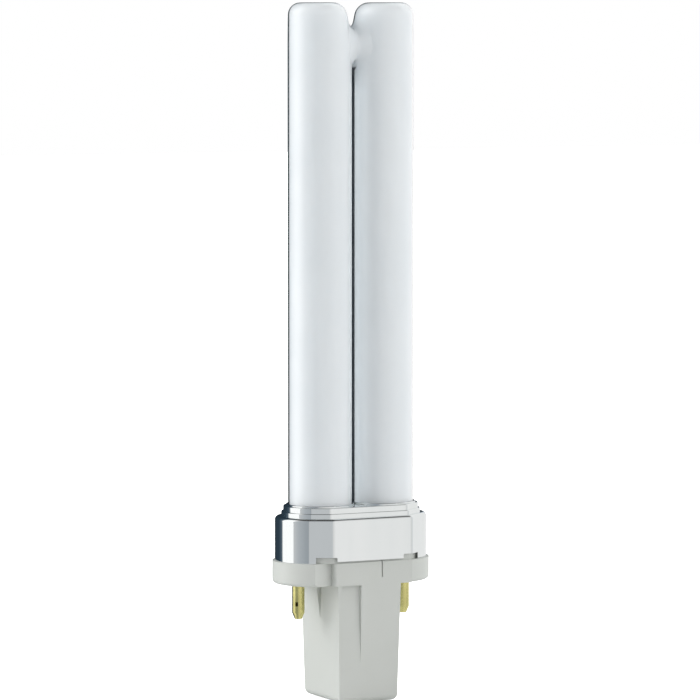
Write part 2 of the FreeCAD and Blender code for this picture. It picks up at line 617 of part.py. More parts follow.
def make_contact_pin(label, side, turn):
    """A pin rolled from brass sheet: hollow, with a head, a blunt tip and a crimp hole."""
    body = new_body(label)
    profile = new_sketch(body, f"{label}_profile", "XZ_Plane")
    shank = "Sizes.pin_radius + Sizes.pin_shank_step"
    head_foot = "Sizes.ear_floor - Sizes.pin_head_sink"
    corners = (
        ("Sizes.pin_mouth_radius", "-Sizes.pin_length"),
        ("Sizes.pin_tip_radius", "-Sizes.pin_length"),
        ("Sizes.pin_radius", "Sizes.pin_taper - Sizes.pin_length"),
        ("Sizes.pin_radius", "0"),
        (shank, "0"),
        (shank, head_foot),
        ("Sizes.pin_head_radius", head_foot),
        ("Sizes.pin_head_radius", f"{head_foot} + Sizes.pin_head_height"),
        ("Sizes.pin_bore_radius", f"{head_foot} + Sizes.pin_head_height"),
        ("Sizes.pin_bore_radius", "Sizes.pin_taper - Sizes.pin_length"),
        ("Sizes.pin_mouth_radius", "Sizes.pin_taper / 2 - Sizes.pin_length"),
    )
    draw_loop(profile, corners)
    rolled = body.newObject("PartDesign::Revolution", f"{label}_turned")
    rolled.Profile = profile
    rolled.ReferenceAxis = (profile, ["V_Axis"])
    rolled.Angle = 360
    doc.recompute()
    crimp_sketch = new_sketch(body, f"{label}_crimp_sketch", "XZ_Plane")
    half = "Sizes.crimp_width / 2"
    tall = "Sizes.crimp_height / 2"
    draw_box(
        crimp_sketch, f"-{half}", half, f"-Sizes.crimp_drop - {tall}", f"-Sizes.crimp_drop + {tall}")
    pocket(body, crimp_sketch, f"{label}_crimp", "2 * Sizes.pin_radius", along_normal=True)
    body.setExpression("Placement.Base.x", f"{side} * Sizes.pin_spacing / 2")
    body.Placement.Rotation = FreeCAD.Rotation(FreeCAD.Vector(0, 0, 1), 0)
    body.setExpression("Placement.Rotation.Angle", f"({turn} - Sizes.crimp_turn) * 1 deg")


def make_basing_cement():
    """The cement that fills the collar round both legs."""
    body = new_body("basing_cement")
    sketch = new_sketch(body, "cement_sketch", level="Sizes.cement_bottom")
    draw_collar_outline(sketch, RING, "Sizes.sheet + Sizes.cement_gap")
    collar_top = "(Sizes.skirt_top + Sizes.ring_low_height + Sizes.ring_high_height)"
    height = f"{collar_top} - Sizes.sheet - Sizes.cement_gap - Sizes.cement_bottom"
    pad(body, sketch, "cement", height)
    hole_sketch = new_sketch(body, "cement_hole_sketch", level="Sizes.cement_bottom")
    draw_legs(hole_sketch, "Sizes.tube_radius + Sizes.cement_gap")
    pocket(body, hole_sketch, "cement_holes", height, along_normal=True)


def make_starter_bottle():
    """The starter's glow bottle, standing on the closed end of the post."""
    body = new_body("starter_bottle")
    profile = new_sketch(body, "bottle_profile", "XZ_Plane")
    shoulder = "(Sizes.bottle_radius - Sizes.bottle_foot_radius)"
    body_top = "(Sizes.bottle_length - Sizes.bottle_neck_length)"
    corners = (
        ("0", "0"),
        ("Sizes.bottle_foot_radius", "0"),
        ("Sizes.bottle_radius", shoulder),
        ("Sizes.bottle_radius", f"{body_top} - {shoulder}"),
        ("Sizes.bottle_neck_radius", body_top),
        ("Sizes.bottle_neck_radius", "Sizes.bottle_length"),
        ("0", "Sizes.bottle_length"),
    )
    draw_loop(profile, corners)
    blown = body.newObject("PartDesign::Revolution", "blown_bottle")
    blown.Profile = profile
    blown.ReferenceAxis = (profile, ["V_Axis"])
    blown.Angle = 360
    doc.recompute()
    body.setExpression("Placement.Base.y", "-Sizes.bottle_place")
    body.setExpression("Placement.Base.z", "Sizes.post_floor - Sizes.post_length")


def make_starter_capacitor():
    """The starter's dipped capacitor, standing beside the bottle."""
    body = new_body("starter_capacitor")
    sketch = new_sketch(body, "capacitor_sketch")
    half_width = "Sizes.capacitor_width / 2"
    half_depth = "Sizes.capacitor_depth / 2"
    draw_box(sketch, f"-{half_width}", half_width, f"-{half_depth}", half_depth)
    pad(body, sketch, "capacitor", "Sizes.capacitor_height")
    fillet(body, "capacitor_edges", "Sizes.capacitor_rounding", is_upright)
    body.setExpression("Placement.Base.y", "Sizes.capacitor_place")
    body.setExpression("Placement.Base.z", "Sizes.post_floor - Sizes.post_length")


def bent_wire(corners, bend, radius):
    """A round wire along straight runs, with an arc of one radius at each inner corner."""
    edges = []
    start = corners[0]
    for before, corner, after in zip(corners, corners[1:], corners[2:]):
        arriving = (corner - before).normalize()
        leaving = (after - corner).normalize()
        turn = arriving.getAngle(leaving)
        back = bend * math.tan(turn / 2)
        entry = corner - arriving * back
        exit_point = corner + leaving * back
        inward = (leaving - arriving).normalize()
        middle = corner + inward * (bend / math.cos(turn / 2) - bend)
        edges.append(Part.LineSegment(start, entry).toShape())
        edges.append(Part.Arc(entry, middle, exit_point).toShape())
        start = exit_point
    edges.append(Part.LineSegment(start, corners[-1]).toShape())
    path = Part.Wire(edges)
    direction = (corners[1] - corners[0]).normalize()
    ring = Part.Wire(Part.Circle(corners[0], direction, radius).toShape())
    return path.makePipeShell([ring], True, False)


def make_lead(label, corners):
    """One lead wire between driven corners."""
    points = [FreeCAD.Vector(*(amount_of(item) for item in corner)) for corner in corners]
    lead = doc.addObject("Part::Feature", label)
    lead.Label = label
    lead.Shape = bent_wire(points, amount_of("Sizes.lead_bend"), amount_of("Sizes.lead_radius"))
    lead.Placement = FreeCAD.Placement()
    SUB_PARTS.append(lead)


def make_leads():
    """From each leg one wire runs into its pin and one down to the starter."""
    stem_end = "Sizes.leg_bottom - Sizes.stem_length"
    bottle_top = "Sizes.post_floor - Sizes.post_length + Sizes.bottle_length"
    for name, sign in (("left", "-1"), ("right", "1")):
        outer = f"{sign} * ({LEG_AXIS} + Sizes.lead_offset)"
        inner = f"{sign} * ({LEG_AXIS} - Sizes.lead_offset)"
        pin = f"{sign} * Sizes.pin_spacing / 2"
        starter = f"{sign} * Sizes.lead_pitch"
        make_lead(f"{name}_pin_lead", (
            (outer, "0", stem_end),
            (outer, "0", "Sizes.lead_level"),
            (pin, "0", "Sizes.lead_level"),
            (pin, "0", "-Sizes.lead_in_pin"),
        ))
        make_lead(f"{name}_starter_lead", (
            (inner, "0", stem_end),
            (inner, "0", "Sizes.lead_level"),
            (starter, "-Sizes.bottle_place", "Sizes.lead_level"),
            (starter, "-Sizes.bottle_place", bottle_top),
        ))


make_discharge_tube()
make_metal_collar()
make_base_housing()
make_contact_pin("left_contact_pin", "-1", "0")
make_contact_pin("right_contact_pin", "1", "180")
make_basing_cement()
make_starter_bottle()
make_starter_capacitor()
make_leads()
doc.recompute()

# Every object has to be sound before anything is written.
for item in doc.Objects:
    if "Invalid" in item.State or "Error" in item.State:
        raise ValueError(f"{item.Label} did not compute: {item.State}")
for item in SUB_PARTS:
    if item.Shape.isNull() or not item.Shape.isValid():
        raise ValueError(f"{item.Label} has no sound shape")
    if len(item.Shape.Solids) != 1:
        raise ValueError(f"{item.Label} is {len(item.Shape.Solids)} solids")

os.makedirs("parts", exist_ok=True)
for item in SUB_PARTS:
    item.Shape.exportStep(f"parts/{item.Label}.step")
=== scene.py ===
import math

import bmesh
import bpy
from mathutils import Matrix, Vector


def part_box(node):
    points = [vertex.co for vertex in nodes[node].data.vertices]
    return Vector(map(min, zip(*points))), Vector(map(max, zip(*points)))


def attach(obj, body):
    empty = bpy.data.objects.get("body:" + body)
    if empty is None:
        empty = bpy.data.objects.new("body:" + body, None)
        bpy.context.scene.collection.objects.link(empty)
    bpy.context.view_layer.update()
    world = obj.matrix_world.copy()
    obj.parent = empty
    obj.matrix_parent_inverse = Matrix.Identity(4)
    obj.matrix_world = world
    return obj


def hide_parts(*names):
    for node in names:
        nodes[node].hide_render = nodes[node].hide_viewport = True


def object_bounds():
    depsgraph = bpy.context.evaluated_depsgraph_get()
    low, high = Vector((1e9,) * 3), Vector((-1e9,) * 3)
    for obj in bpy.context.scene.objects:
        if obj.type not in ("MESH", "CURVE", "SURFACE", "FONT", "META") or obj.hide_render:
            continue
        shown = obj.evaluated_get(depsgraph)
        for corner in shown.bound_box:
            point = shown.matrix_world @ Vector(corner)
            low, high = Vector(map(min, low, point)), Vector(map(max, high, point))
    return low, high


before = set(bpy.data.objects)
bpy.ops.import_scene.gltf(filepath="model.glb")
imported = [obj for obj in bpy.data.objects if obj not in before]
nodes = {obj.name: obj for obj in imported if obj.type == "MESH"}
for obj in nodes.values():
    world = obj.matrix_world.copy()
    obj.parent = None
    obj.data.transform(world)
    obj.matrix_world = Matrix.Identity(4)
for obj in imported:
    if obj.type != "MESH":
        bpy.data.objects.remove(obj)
cad_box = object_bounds()
MM = 0.001

# Discharge tube: two legs of drawn glass, sealed flat at the top and pressed shut at the
# foot, then blown into each other by a short bridge. The wall is clear, with a white
# powder coat on its inside, so a glossy skin lies over a chalky white.
tube_low, tube_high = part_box("discharge_tube")
LEG_RADIUS = tube_high.y
LEG_AXIS = tube_high.x - LEG_RADIUS
LEG_RUNS = 12
GLASS_TOP = tube_high.z
CROWN_FOOT = GLASS_TOP - 8.0 * MM
CROWN_LEAN = 0.68 * MM
CROWN_ROUNDING = 2.4 * MM
CROWN_STEPS = 6
CROWN_MIDDLE = 1.6 * MM
BRIDGE_LEVEL = GLASS_TOP - 8.45 * MM
BRIDGE_WAIST = 3.6 * MM
BRIDGE_MOUTH = 4.7 * MM
OPENING_WIDTH = 7.9 * MM
OPENING_HEIGHT = 8.0 * MM
FOOT_ROUNDING = 1.5 * MM
FOOT_STEPS = 3
FOOT_BAND = 2.0 * MM
STEM_RADIUS = 2.0 * MM
STEM_LENGTH = 2.5 * MM
STEM_FILLET = 0.2 * MM
RING_SIDES = 48
ROW = 0.8 * MM
ROWS_BELOW_BRIDGE = 6
SEAM = 0.01 * MM

# The bridge's rings, from its mouth to its waist: how far out each lies, as a share of the
# way to the leg, and its radius.
BRIDGE_RINGS = ((0.45, 4.0 * MM), (0.15, 3.68 * MM), (0.0, BRIDGE_WAIST))


def lean_at(level):
    """How far the leg's axis leans out at a level, and how much its radius shrinks there."""
    return CROWN_LEAN * max(0, level - CROWN_FOOT) / (GLASS_TOP - CROWN_FOOT)


def inner_side(y, level):
    """The x of the right leg's inner side."""
    lean = lean_at(level)
    return LEG_AXIS + lean - math.sqrt((LEG_RADIUS - lean) ** 2 - y ** 2)


def extruded(shape, edges):
    """Extrudes a ring of edges on the spot, and gives the new ring's corners and edges."""
    made = bmesh.ops.extrude_edge_only(shape, edges=edges)["geom"]
    corners = [item for item in made if isinstance(item, bmesh.types.BMVert)]
    fresh = set(corners)
    new_edges = [item for item in made if isinstance(item, bmesh.types.BMEdge)]
    return corners, [edge for edge in new_edges if fresh.issuperset(edge.verts)]


def ring_above(shape, edges, level, radius, axis_x):
    """Extrudes a ring of edges to a level, with a new radius and a new axis."""
    corners, new_ring = extruded(shape, edges)
    middle = sum((vert.co for vert in corners), Vector()) / len(corners)
    scale = radius / (corners[0].co - middle).length
    bmesh.ops.scale(
        shape, verts=corners, vec=(scale, scale, 1), space=Matrix.Translation(-middle))
    bmesh.ops.translate(shape, verts=corners, vec=(axis_x - middle.x, 0, level - middle.z))
    return new_ring


def at_opening(face):
    """Whether a face of the right leg lies where the bridge opens into it."""
    middle = face.calc_center_median()
    return (
        middle.x < LEG_AXIS
        and abs(middle.y) < OPENING_WIDTH / 2
        and abs(middle.z - BRIDGE_LEVEL) < OPENING_HEIGHT / 2)


def round_bridge(vert, radius):
    """The y and level at a radius from the bridge's axis, on the side where a corner lies."""
    angle = math.atan2(vert.co.z - BRIDGE_LEVEL, vert.co.y)
    return radius * math.cos(angle), BRIDGE_LEVEL + radius * math.sin(angle)


def new_piece(name, shape, replaced):
    """Turns a bmesh into a smooth object that stands for a CAD node and rides on the lamp."""
    mesh = bpy.data.meshes.new(name)
    shape.to_mesh(mesh)
    shape.free()
    mesh.shade_smooth()
    piece = bpy.data.objects.new(name, mesh)
    bpy.context.scene.collection.objects.link(piece)
    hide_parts(replaced)
    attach(piece, "root")
    return piece


glass = bmesh.new()
start = bmesh.ops.create_circle(glass, segments=RING_SIDES, radius=STEM_RADIUS, cap_ends=True)
bmesh.ops.translate(glass, verts=start["verts"], vec=(LEG_AXIS, 0, tube_low.z))
ring = [edge for edge in glass.edges if edge.is_boundary]

foot_level = tube_low.z + STEM_LENGTH
rings = [(foot_level - STEM_FILLET, STEM_RADIUS), (foot_level, STEM_RADIUS + STEM_FILLET)]
for step in range(FOOT_STEPS + 1):
    bend = math.radians(90 * step / FOOT_STEPS)
    level = foot_level + FOOT_ROUNDING * (1 - math.cos(bend))
    rings.append((level, LEG_RADIUS - FOOT_ROUNDING * (1 - math.sin(bend))))
leg_foot = foot_level + FOOT_BAND
bridge_foot = BRIDGE_LEVEL - ROWS_BELOW_BRIDGE * ROW
for step in range(1, LEG_RUNS):
    rings.append((leg_foot + (bridge_foot - leg_foot) * step / LEG_RUNS, LEG_RADIUS))
for step in range(2 * ROWS_BELOW_BRIDGE):
    rings.append((bridge_foot + ROW * step, LEG_RADIUS))
for step in range(CROWN_STEPS + 1):
    bend = math.radians(90 * step / CROWN_STEPS)
    level = GLASS_TOP - CROWN_ROUNDING * (1 - math.sin(bend))
    rings.append((level, LEG_RADIUS - CROWN_ROUNDING * (1 - math.cos(bend))))
rings.append((GLASS_TOP, CROWN_MIDDLE))
for level, radius in rings:
    lean = lean_at(level)
    ring = ring_above(glass, ring, level, radius - lean, LEG_AXIS + lean)
crown = bmesh.ops.edgeloop_fill(glass, edges=ring)["faces"]
bmesh.ops.poke(glass, faces=crown)
bottom = [face for face in glass.faces if len(face.verts) == RING_SIDES]
bmesh.ops.poke(glass, faces=bottom)

opening = [face for face in glass.faces if at_opening(face)]
bmesh.ops.delete(glass, geom=opening, context="FACES")
mouth = [edge for edge in glass.edges if edge.is_boundary]
for vert in {vert for edge in mouth for vert in edge.verts}:
    y, level = round_bridge(vert, BRIDGE_MOUTH)
    vert.co = Vector((inner_side(y, level), y, level))
for reach, radius in BRIDGE_RINGS:
    corners, mouth = extruded(glass, mouth)
    for vert in corners:
        to_leg = inner_side(*round_bridge(vert, BRIDGE_MOUTH))
        vert.co = Vector((to_leg * reach, *round_bridge(vert, radius)))
bmesh.ops.mirror(
    glass, geom=glass.verts[:] + glass.edges[:] + glass.faces[:], axis="X", merge_dist=SEAM)
bmesh.ops.remove_doubles(glass, verts=glass.verts, dist=SEAM / 2)
bmesh.ops.recalc_face_normals(glass, faces=glass.faces)
tube = new_piece("glass_tube", glass, "discharge_tube")
smoothing = tube.modifiers.new("smooth", "SUBSURF")
smoothing.levels = 2
smoothing.render_levels = 2


def new_material(name, **sockets):
    """A Principled material with its constants set straight on the shader."""
    made = bpy.data.materials.new(name)
    made.use_nodes = True
    shader = made.node_tree.nodes["Principled BSDF"]
    for socket, value in sockets.items():
        shader.inputs[socket.replace("_", " ")].default_value = value
    return made


def ranged(tree, value, low, high, at_low=0.0, at_high=1.0):
    """Maps a socket from one range to another, and gives the new socket."""
    node = tree.nodes.new("ShaderNodeMapRange")
    ends = (("From Min", low), ("From Max", high), ("To Min", at_low), ("To Max", at_high))
    for socket, number in ends:
        node.inputs[socket].default_value = number
    tree.links.new(value, node.inputs["Value"])
    return node.outputs["Result"]


def mixed(tree, factor, first, second):
    """Mixes two colours, each a socket or a constant, by a factor socket."""
    node = tree.nodes.new("ShaderNodeMix")
    node.data_type = "RGBA"
    tree.links.new(factor, node.inputs["Factor"])
    for name, colour in (("A", first), ("B", second)):
        if isinstance(colour, tuple):
            node.inputs[name].default_value = colour
        else:
            tree.links.new(colour, node.inputs[name])
    return node.outputs["Result"]


# Most of a noise lies between these values, which become its two ends.
PATCH_RANGE = (0.35, 0.65)
GRAIN_RANGE = (0.3, 0.7)


def make_uneven_group():
    """A node group for surfaces: broad patches of tint, a changing gloss and a fine relief."""
    group = bpy.data.node_groups.new("uneven_surface", "ShaderNodeTree")
    sockets = (
        ("INPUT", "NodeSocketColor", ("Tint", "Other Tint")),
        ("INPUT", "NodeSocketVector", ("Stretch",)),
        ("INPUT", "NodeSocketFloat", ("Patches", "Grain", "Glossiest", "Dullest", "Relief", "Depth")),
        ("OUTPUT", "NodeSocketColor", ("Tint",)),
        ("OUTPUT", "NodeSocketFloat", ("Roughness",)),
        ("OUTPUT", "NodeSocketVector", ("Normal",)),
    )
    for side, kind, names in sockets:
        for name in names:
            group.interface.new_socket(name, in_out=side, socket_type=kind)
    given = group.nodes.new("NodeGroupInput")
    result = group.nodes.new("NodeGroupOutput")
    place = group.nodes.new("ShaderNodeTexCoord")
    stretched = group.nodes.new("ShaderNodeVectorMath")
    stretched.operation = "MULTIPLY"
    group.links.new(place.outputs["Object"], stretched.inputs[0])
    group.links.new(given.outputs["Stretch"], stretched.inputs[1])
    patches = group.nodes.new("ShaderNodeTexNoise")
    patches.inputs["Detail"].default_value = 3.0
    grain = group.nodes.new("ShaderNodeTexNoise")
    grain.inputs["Detail"].default_value = 4.0
    for noise, scale in ((patches, "Patches"), (grain, "Grain")):
        group.links.new(stretched.outputs["Vector"], noise.inputs["Vector"])
        group.links.new(given.outputs[scale], noise.inputs["Scale"])
    spread = ranged(group, patches.outputs["Fac"], *PATCH_RANGE)
    tint = mixed(group, spread, given.outputs["Tint"], given.outputs["Other Tint"])
    group.links.new(tint, result.inputs["Tint"])
    gloss = ranged(group, grain.outputs["Fac"], *GRAIN_RANGE)
    group.links.new(given.outputs["Glossiest"], gloss.node.inputs["To Min"])
    group.links.new(given.outputs["Dullest"], gloss.node.inputs["To Max"])
    group.links.new(gloss, result.inputs["Roughness"])
    bump = group.nodes.new("ShaderNodeBump")
    group.links.new(grain.outputs["Fac"], bump.inputs["Height"])
    group.links.new(given.outputs["Relief"], bump.inputs["Strength"])
    group.links.new(given.outputs["Depth"], bump.inputs["Distance"])
    group.links.new(bump.outputs["Normal"], result.inputs["Normal"])
    return group


UNEVEN = make_uneven_group()


def finish(material, **values):
    """Feeds a material's colour, roughness and normal from the uneven surface group."""
    tree = material.node_tree
    shader = tree.nodes["Principled BSDF"]
    uneven = tree.nodes.new("ShaderNodeGroup")
    uneven.node_tree = UNEVEN
    uneven.inputs["Stretch"].default_value = (1, 1, 1)
    for name, value in values.items():
        uneven.inputs[name.replace("_", " ")].default_value = value
    tree.links.new(uneven.outputs["Tint"], shader.inputs["Base Color"])
    tree.links.new(uneven.outputs["Roughness"], shader.inputs["Roughness"])
    tree.links.new(uneven.outputs["Normal"], shader.inputs["Normal"])
    return uneven


coated_glass = new_material(
    "coated_glass", IOR=1.55, Coat_Weight=1.0, Coat_Roughness=0.02, Coat_IOR=1.5,
    Subsurface_Weight=0.6, Subsurface_Radius=(1, 1, 1), Subsurface_Scale=4 * MM)
powder = finish(
    coated_glass, Tint=(0.825, 0.862, 0.885, 1), Other_Tint=(0.805, 0.845, 0.870, 1),
    Patches=90.0, Grain=420.0, Glossiest=0.10, Dullest=0.16, Relief=0.06, Depth=0.02 * MM)
tube.data.materials.append(coated_glass)

# At a glancing angle, where the clear wall would hide the powder, the glass's colour is painted
# with a thin rim: painted dark reflection on the left leg's outer side and the right leg's inner
# side, painted grey between them, and a painted highlight on the right leg's outer side. The flat
# crowns show it only when seen nearly level. Below the bridge, a thin line where the legs are
# nearest is painted dark shade too.
half_gap = LEG_AXIS - LEG_RADIUS
PAINTED_RIM_SHADE = (0.02, 0.024, 0.028, 1)
PAINTED_RIM_GREY = (0.72, 0.75, 0.77, 1)
PAINTED_RIM_HIGHLIGHT = (1, 1, 1, 1)
PAINTED_RIM_COLOURS = (
    (-LEG_AXIS, PAINTED_RIM_SHADE), (-LEG_AXIS + 2 * MM, PAINTED_RIM_GREY), (-0.5 * MM, PAINTED_RIM_GREY), (0.3 * MM, PAINTED_RIM_SHADE),
    (LEG_AXIS, PAINTED_RIM_SHADE), (LEG_AXIS + 2 * MM, PAINTED_RIM_HIGHLIGHT),
)
PAINTED_RIM_RANGE = (0.65, 0.76)
CROWN_SPARED = 0.16
PAINTED_GAP_SHADE_EDGE = (half_gap + 0.035 * MM, half_gap + 0.065 * MM)
PAINTED_GAP_SHADE_TOP = (BRIDGE_LEVEL - 4.45 * MM, BRIDGE_LEVEL - 4.0 * MM)


def joined(tree, operation, *values):
    """A maths node fed by sockets, and its result."""
    node = tree.nodes.new("ShaderNodeMath")
    node.operation = operation
    for value, socket in zip(values, node.inputs):
        tree.links.new(value, socket)
    return node.outputs["Value"]


def ramped(tree, value, stops):
    """A colour ramp fed by a socket, with stops of a position and a colour, and its colour."""
    node = tree.nodes.new("ShaderNodeValToRGB")
    elements = node.color_ramp.elements
    while len(elements) < len(stops):
        elements.new(0.5)
    for element, (position, colour) in zip(elements, stops):
        element.position = position
        element.color = colour
    tree.links.new(value, node.inputs["Fac"])
    return node.outputs["Color"]


coating = coated_glass.node_tree
place = coating.nodes.new("ShaderNodeTexCoord")
axes = coating.nodes.new("ShaderNodeSeparateXYZ")
coating.links.new(place.outputs["Object"], axes.inputs["Vector"])
heading = coating.nodes.new("ShaderNodeSeparateXYZ")
coating.links.new(place.outputs["Normal"], heading.inputs["Vector"])
glancing = coating.nodes.new("ShaderNodeLayerWeight")

across = ranged(coating, axes.outputs["X"], -tube_high.x, tube_high.x)
# The painted rim's colour, painted reflection and painted highlight, chosen by how far across the lamp
# a point lies.
painted_rim_colour = ramped(
    coating, across, [((x / tube_high.x + 1) / 2, colour) for x, colour in PAINTED_RIM_COLOURS])
spared = ranged(coating, heading.outputs["Z"], 0.0, 1.0, 0.0, CROWN_SPARED)
seen_flat = joined(coating, "SUBTRACT", glancing.outputs["Facing"], spared)
painted_rim = ranged(coating, seen_flat, *PAINTED_RIM_RANGE)
# The painted gap shade: a thin dark line below the bridge where the legs are nearest.
from_middle = joined(coating, "ABSOLUTE", axes.outputs["X"])
facing_leg = ranged(coating, from_middle, *PAINTED_GAP_SHADE_EDGE, 1.0, 0.0)
below_bridge = ranged(coating, axes.outputs["Z"], *PAINTED_GAP_SHADE_TOP, 1.0, 0.0)
painted_gap_shade = joined(coating, "MULTIPLY", facing_leg, below_bridge)
painted_rim_and_gap_shade = joined(coating, "MAXIMUM", painted_rim, painted_gap_shade)
# The painted rim and the painted gap shade are mixed into the powder's colour.
powder_with_painted_rim = mixed(coating, painted_rim_and_gap_shade, powder.outputs["Tint"], painted_rim_colour)
glass_shader = coating.nodes["Principled BSDF"]
coating.links.new(powder_with_painted_rim, glass_shader.inputs["Base Color"])

# On the right leg, beside that line, painted light fills the shade: an emission that stands in
# for light passed through the powder, though the lamp is off. Its strength falls with the
# distance from the line, given here in millimetres, and it fades out towards the bridge.
PAINTED_FILL_LIGHT = (
    (0.0, 0.0), (0.05, 0.0), (0.07, 0.30), (0.20, 0.26), (0.50, 0.14), (0.90, 0.09),
    (1.45, 0.03), (2.10, 0.0),
)
PAINTED_FILL_TINT = (0.94, 1.0, 1.03)
PAINTED_FILL_TOP = (BRIDGE_LEVEL - 9.0 * MM, BRIDGE_LEVEL - 3.0 * MM)
painted_fill_stops = []
for distance, strength in PAINTED_FILL_LIGHT:
    colour = [strength * share for share in PAINTED_FILL_TINT]
    painted_fill_stops.append(((half_gap + distance * MM) / LEG_AXIS, (*colour, 1)))
# The painted fill light is fed to the glass's emission, fading out towards the bridge.
painted_fill = ramped(coating, ranged(coating, axes.outputs["X"], 0.0, LEG_AXIS), painted_fill_stops)
coating.links.new(painted_fill, glass_shader.inputs["Emission Color"])
painted_fill_room = ranged(coating, axes.outputs["Z"], *PAINTED_FILL_TOP, 1.0, 0.0)
coating.links.new(painted_fill_room, glass_shader.inputs["Emission Strength"])

# Metal collar: one sheet drawn to a skirt, two stepped rings and a lip round each leg, then
# plated bright and crimped over the cap. The CAD node stands, with faint marks of drawing
# that run up the wall.
collar = nodes["metal_collar"]
collar_metal = new_material("collar_metal", Metallic=1.0)
finish(
    collar_metal, Tint=(0.90, 0.92, 0.915, 1), Other_Tint=(0.87, 0.895, 0.89, 1), Stretch=(1, 1, 0.12),
    Patches=260.0, Grain=1800.0, Glossiest=0.045, Dullest=0.085, Relief=0.05, Depth=0.01 * MM)
collar.material_slots[0].material = collar_metal

# Base housing: the cap, moulded in one piece from a pale satin plastic, with a keyed post
# below its flange. It is the CAD solid with its seams merged and its sharp edges rounded a
# little, as a mould leaves them.
MERGE_REACH = 0.001 * MM
FLAT_BEND = math.radians(0.5)
EDGE_ROUNDING = 0.14 * MM
ROUNDED_BEND = math.radians(35)

# Any bend at the side of a large flat face shows as an edge, so the face stays flat. Other
# walls look smooth up to a larger bend.
FLAT_AREA = 20 * MM ** 2
BEND_BESIDE_FLAT = math.radians(1)
BEND_ELSEWHERE = math.radians(14)

housing = bmesh.new()
housing.from_mesh(nodes["base_housing"].data)
bmesh.ops.remove_doubles(housing, verts=housing.verts, dist=MERGE_REACH)
bmesh.ops.dissolve_limit(
    housing, verts=housing.verts, edges=housing.edges, angle_limit=FLAT_BEND)
for edge in housing.edges:
    beside_flat = any(face.calc_area() > FLAT_AREA for face in edge.link_faces)
    smooth_bend = BEND_BESIDE_FLAT if beside_flat else BEND_ELSEWHERE
    edge.smooth = edge.calc_face_angle(0) < smooth_bend
cap = new_piece("cap", housing, "base_housing")
rounding = cap.modifiers.new("rounding", "BEVEL")
rounding.width = EDGE_ROUNDING
rounding.segments = 2
rounding.limit_method = "ANGLE"
rounding.angle_limit = ROUNDED_BEND
rounding.harden_normals = True
cap_plastic = new_material("cap_plastic", IOR=1.46)
finish(
    cap_plastic, Tint=(0.630, 0.652, 0.622, 1), Other_Tint=(0.616, 0.638, 0.606, 1),
    Patches=110.0, Grain=3200.0, Glossiest=0.36, Dullest=0.50, Relief=0.18, Depth=0.02 * MM)
cap.data.materials.append(cap_plastic)

# Contact pins: each is rolled from brass sheet round its lead and crimped, so the wire
# inside makes contact. Bare brass, with a soft shine and a little handling stain.
pin_brass = new_material("pin_brass", Metallic=1.0)
finish(
    pin_brass, Tint=(0.80, 0.74, 0.31, 1), Other_Tint=(0.64, 0.59, 0.24, 1), Stretch=(1, 1, 0.4),
    Patches=420.0, Grain=2600.0, Glossiest=0.20, Dullest=0.34, Relief=0.12, Depth=0.02 * MM)
for name in ("left_contact_pin", "right_contact_pin"):
    nodes[name].material_slots[0].material = pin_brass

# Basing cement: a filler paste that holds both legs in the collar and the cap. It is
# pressed in soft and baked hard, and it is dull and gritty.
cement = new_material("cement", IOR=1.5)
finish(
    cement, Tint=(0.62, 0.59, 0.52, 1), Other_Tint=(0.50, 0.47, 0.41, 1),
    Patches=300.0, Grain=1500.0, Glossiest=0.80, Dullest=0.95, Relief=0.7, Depth=0.15 * MM)
nodes["basing_cement"].material_slots[0].material = cement

# Starter bottle: a small blown bottle of clear glass that holds the glow switch. It stands
# in the post, hidden from outside.
bottle_glass = new_material("bottle_glass", IOR=1.5, Transmission_Weight=1.0)
finish(
    bottle_glass, Tint=(0.90, 0.95, 0.93, 1), Other_Tint=(0.86, 0.93, 0.90, 1),
    Patches=150.0, Grain=500.0, Glossiest=0.02, Dullest=0.05, Relief=0.05, Depth=0.02 * MM)
nodes["starter_bottle"].material_slots[0].material = bottle_glass

# Starter capacitor: a wound foil beside the bottle, dipped in brown lacquer, which leaves a
# glossy, wavy coat.
capacitor_coat = new_material("capacitor_coat", IOR=1.52)
finish(
    capacitor_coat, Tint=(0.50, 0.22, 0.08, 1), Other_Tint=(0.42, 0.17, 0.06, 1),
    Patches=240.0, Grain=700.0, Glossiest=0.16, Dullest=0.28, Relief=0.3, Depth=0.1 * MM)
nodes["starter_capacitor"].material_slots[0].material = capacitor_coat

# Leads: plated iron wire from each leg, one into its pin and one down to the starter. They
# are bent to their route and left bare.
lead_wire = new_material("lead_wire", Metallic=1.0)
finish(
    lead_wire, Tint=(0.62, 0.61, 0.58, 1), Other_Tint=(0.52, 0.50, 0.47, 1), Stretch=(1, 1, 0.2),
    Patches=600.0, Grain=2500.0, Glossiest=0.26, Dullest=0.42, Relief=0.1, Depth=0.01 * MM)
for name in ("left_pin_lead", "right_pin_lead", "left_starter_lead", "right_starter_lead"):
    nodes[name].material_slots[0].material = lead_wire

# Floor: a plain pale sheet under the lamp, white to the camera. It gives light back to the
# lamp and isn't seen in its reflections.
FLOOR_SIZE = 3.0
FLOOR_DROP = 0.2 * MM
floor_shape = bmesh.new()
bmesh.ops.create_grid(floor_shape, x_segments=1, y_segments=1, size=FLOOR_SIZE)
bmesh.ops.translate(floor_shape, verts=floor_shape.verts, vec=(0, 0, cad_box[0][2] - FLOOR_DROP))
floor_mesh = bpy.data.meshes.new("floor")
floor_shape.to_mesh(floor_mesh)
floor_shape.free()
floor = bpy.data.objects.new("floor", floor_mesh)
bpy.context.scene.collection.objects.link(floor)
floor.visible_glossy = False
floor_paint = new_material(
    "floor_paint", Base_Color=(0.8, 0.8, 0.8, 1), Roughness=0.9, Emission_Color=(1, 1, 1, 1))
floor.data.materials.append(floor_paint)
paint = floor_paint.node_tree
seen = paint.nodes.new("ShaderNodeLightPath")
to_paint = paint.nodes["Principled BSDF"].inputs["Emission Strength"]
paint.links.new(seen.outputs["Is Camera Ray"], to_paint)

